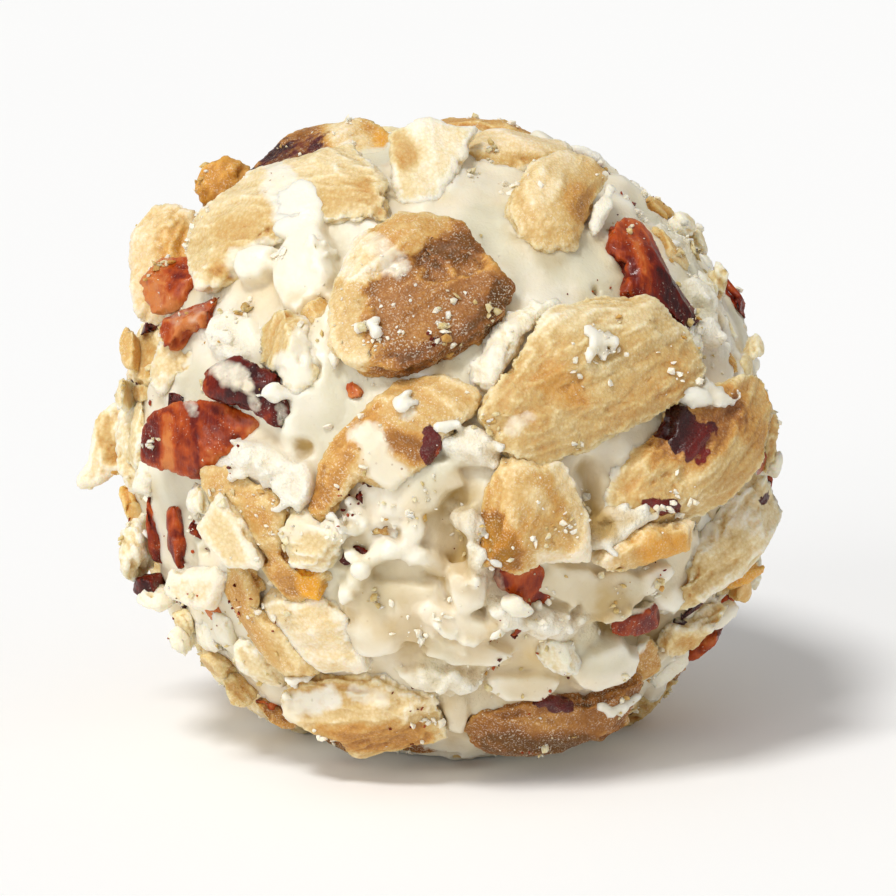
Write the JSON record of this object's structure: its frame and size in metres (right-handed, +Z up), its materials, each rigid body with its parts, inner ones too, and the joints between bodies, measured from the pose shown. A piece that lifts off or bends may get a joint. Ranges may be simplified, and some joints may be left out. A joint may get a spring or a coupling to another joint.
{
  "type": "white chocolate truffle",
  "caption": "Round white chocolate truffle coated in broken roasted nut pieces, flakes and skins, settled on a small flat foot.",
  "frame": {"origin": "middle of the small flat foot that the truffle rests on", "axes": "+Z up, -Y towards the side that faces the viewer"},
  "size_m": [0.0352, 0.0339, 0.0316],
  "materials": {
    "coating": "satin",
    "toasted_nut": "matte",
    "pale_nut": "matte",
    "golden_nut": "satin",
    "nut_flake": "matte",
    "nut_skin": "satin"
  },
  "bodies": {
    "root": {"ball": "coating", "flake_11": "nut_flake", "flake_17": "nut_flake", "flake_almond": "nut_flake", "flake_left_lower": "nut_flake", "flake_left_upper": "nut_flake", "flake_shard": "nut_flake", "golden_04": "golden_nut", "golden_10": "golden_nut", "golden_16": "golden_nut", "golden_21": "golden_nut", "golden_cube": "golden_nut", "golden_half": "golden_nut", "golden_orange": "golden_nut", "golden_shield": "golden_nut", "golden_stick": "golden_nut", "golden_wedge": "golden_nut", "golden_yellow": "golden_nut", "pale_01": "pale_nut", "pale_03": "pale_nut", "pale_06": "pale_nut", "pale_09": "pale_nut", "pale_12": "pale_nut", "pale_15": "pale_nut", "pale_20": "pale_nut", "pale_22": "pale_nut", "pale_base": "pale_nut", "pale_block": "pale_nut", "pale_blushed": "pale_nut", "pale_frosted": "pale_nut", "pale_keel": "pale_nut", "pale_layer": "pale_nut", "pale_left": "pale_nut", "pale_left_tall": "pale_nut", "pale_log": "pale_nut", "pale_rough": "pale_nut", "pale_wing": "pale_nut", "skin_07": "nut_skin", "skin_13": "nut_skin", "skin_19": "nut_skin", "skin_23": "nut_skin", "skin_amber": "nut_skin", "skin_chip": "nut_skin", "skin_dusty": "nut_skin", "skin_mahogany": "nut_skin", "skin_plum": "nut_skin", "skin_russet": "nut_skin", "toasted_02": "toasted_nut", "toasted_05": "toasted_nut", "toasted_08": "toasted_nut", "toasted_14": "toasted_nut", "toasted_18": "toasted_nut", "toasted_24": "toasted_nut", "toasted_arc": "toasted_nut", "toasted_bar_lower": "toasted_nut", "toasted_bar_upper": "toasted_nut", "toasted_base": "toasted_nut", "toasted_hood": "toasted_nut", "toasted_slab": "toasted_nut"}
  },
  "joints": []
}
